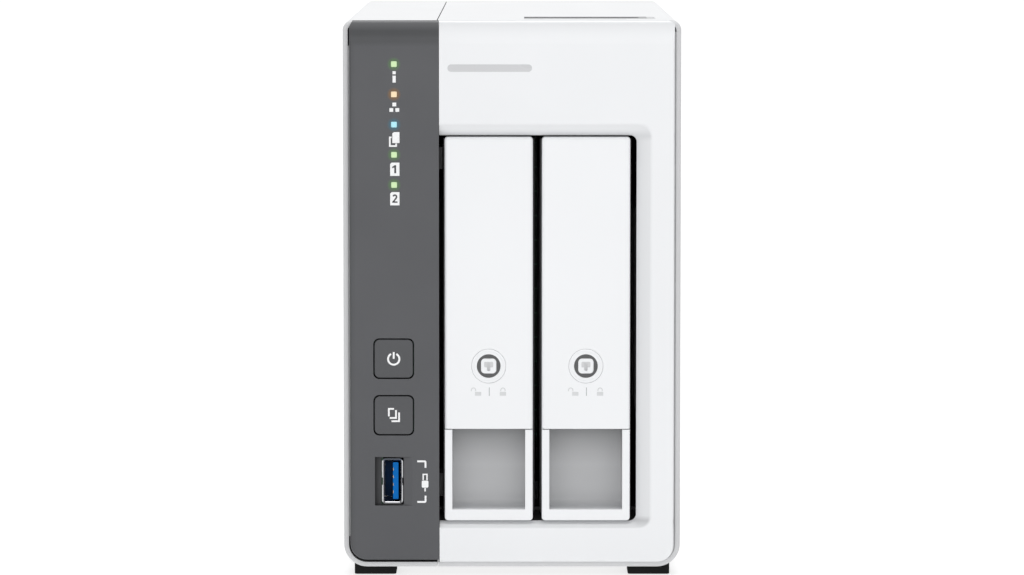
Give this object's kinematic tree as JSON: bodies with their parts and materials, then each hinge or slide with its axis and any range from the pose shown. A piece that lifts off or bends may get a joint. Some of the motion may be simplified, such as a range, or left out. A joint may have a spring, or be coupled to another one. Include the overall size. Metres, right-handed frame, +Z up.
{
  "type": "network attached storage",
  "caption": "Upright desktop network storage box with sliding disk trays behind hinged locking handles, status lights, push buttons, front data socket and rear fan.",
  "frame": {"origin": "on the ground under the middle of the box that the whole object fits in", "axes": "+X to the right seen from the front, +Y to the rear, +Z up"},
  "size_m": [0.102, 0.225, 0.1685],
  "materials": {
    "case_white": "fine satin texture",
    "bezel_white": "smooth satin",
    "tray_white": "smooth satin",
    "panel_grey": "smooth matte",
    "light_guide": "frosted clear plastic",
    "tray_black": "fine matte texture",
    "foot_rubber": "matte",
    "cage_steel": "dark satin coat",
    "rear_grey": "satin paint",
    "board_green": "solder mask",
    "chip_black": "moulded epoxy",
    "sink_aluminium": "anodised",
    "disk_aluminium": "cast",
    "disk_lid_steel": "stamped",
    "socket_steel": "bright nickel plate",
    "usb_blue": "moulded",
    "jack_black": "moulded",
    "fan_black": "moulded",
    "screw_steel": "plated",
    "lead_black": "sleeve",
    "lock_grey": "smooth",
    "pin_steel": "ground"
  },
  "bodies": {
    "chassis": {"left_shell": "case_white", "right_shell": "case_white", "foot_front_left": "foot_rubber", "foot_front_right": "foot_rubber", "foot_rear_left": "foot_rubber", "foot_rear_right": "foot_rubber", "front_bezel": "bezel_white", "control_panel": "panel_grey", "light_guides": "light_guide", "front_io_board": "board_green", "tact_switches": "chip_black", "front_usb_shell": "socket_steel", "front_usb_tongue": "usb_blue", "rear_usb_shells": "socket_steel", "rear_usb_tongues": "jack_black", "lan_jack_shells": "socket_steel", "lan_jack_inserts": "jack_black", "dc_inlet": "jack_black", "drive_cage": "cage_steel", "backplane_board": "board_green", "sata_sockets": "jack_black", "main_board": "board_green", "board_chips": "chip_black", "processor_heat_sink": "sink_aluminium", "clock_battery": "screw_steel", "fan_frame": "fan_black", "fan_screws": "screw_steel", "fan_lead": "lead_black", "rear_panel": "rear_grey", "rear_screws": "screw_steel"},
    "power_button": {"power_button": "panel_grey"},
    "copy_button": {"copy_button": "panel_grey"},
    "reset_button": {"reset_button": "jack_black"},
    "fan_rotor": {"fan_rotor": "fan_black"},
    "tray_1": {"tray_front_1": "tray_white", "tray_sled_1": "tray_black", "hinge_pin_1": "pin_steel", "clip_strips_1": "tray_black", "disk_base_1": "disk_aluminium", "disk_lid_1": "disk_lid_steel", "disk_board_1": "board_green"},
    "handle_1": {"handle_flap_1": "tray_white", "lock_escutcheon_1": "tray_white"},
    "lock_1": {"lock_barrel_1": "lock_grey", "lock_core_1": "tray_white", "lock_cam_1": "pin_steel"},
    "tray_2": {"tray_front_2": "tray_white", "tray_sled_2": "tray_black", "hinge_pin_2": "pin_steel", "clip_strips_2": "tray_black", "disk_base_2": "disk_aluminium", "disk_lid_2": "disk_lid_steel", "disk_board_2": "board_green"},
    "handle_2": {"handle_flap_2": "tray_white", "lock_escutcheon_2": "tray_white"},
    "lock_2": {"lock_barrel_2": "lock_grey", "lock_core_2": "tray_white", "lock_cam_2": "pin_steel"}
  },
  "joints": [
    {"name": "tray_1_slide", "type": "slide", "parent": "chassis", "child": "tray_1", "axis": [0, -1, 0], "range_m": [0, 0.16]},
    {"name": "handle_1_hinge", "type": "hinge", "parent": "tray_1", "child": "handle_1", "pos_m": [-0.00705, -0.1093, 0.12905], "axis": [-1, 0, 0], "range_deg": [0, 38]},
    {"name": "lock_1_turn", "type": "hinge", "parent": "handle_1", "child": "lock_1", "pos_m": [-0.00705, -0.1099, 0.0641], "axis": [0, 1, 0], "range_deg": [0, 90]},
    {"name": "tray_2_slide", "type": "slide", "parent": "chassis", "child": "tray_2", "axis": [0, -1, 0], "range_m": [0, 0.16]},
    {"name": "handle_2_hinge", "type": "hinge", "parent": "tray_2", "child": "handle_2", "pos_m": [0.02235, -0.1093, 0.12905], "axis": [-1, 0, 0], "range_deg": [0, 38]},
    {"name": "lock_2_turn", "type": "hinge", "parent": "handle_2", "child": "lock_2", "pos_m": [0.02235, -0.1099, 0.0641], "axis": [0, 1, 0], "range_deg": [0, 90]},
    {"name": "power_press", "type": "slide", "parent": "chassis", "child": "power_button", "axis": [0, 1, 0], "range_m": [0, 0.0008], "stiffness_N_per_m": 1200, "springref_m": -0.0003},
    {"name": "copy_press", "type": "slide", "parent": "chassis", "child": "copy_button", "axis": [0, 1, 0], "range_m": [0, 0.0008], "stiffness_N_per_m": 1200, "springref_m": -0.0003},
    {"name": "reset_press", "type": "slide", "parent": "chassis", "child": "reset_button", "axis": [0, -1, 0], "range_m": [0, 0.0005], "stiffness_N_per_m": 1000, "springref_m": -0.0002},
    {"name": "fan_spin", "type": "hinge", "parent": "chassis", "child": "fan_rotor", "pos_m": [0.0105, 0.098, 0.078], "axis": [0, 1, 0], "continuous": true}
  ]
}
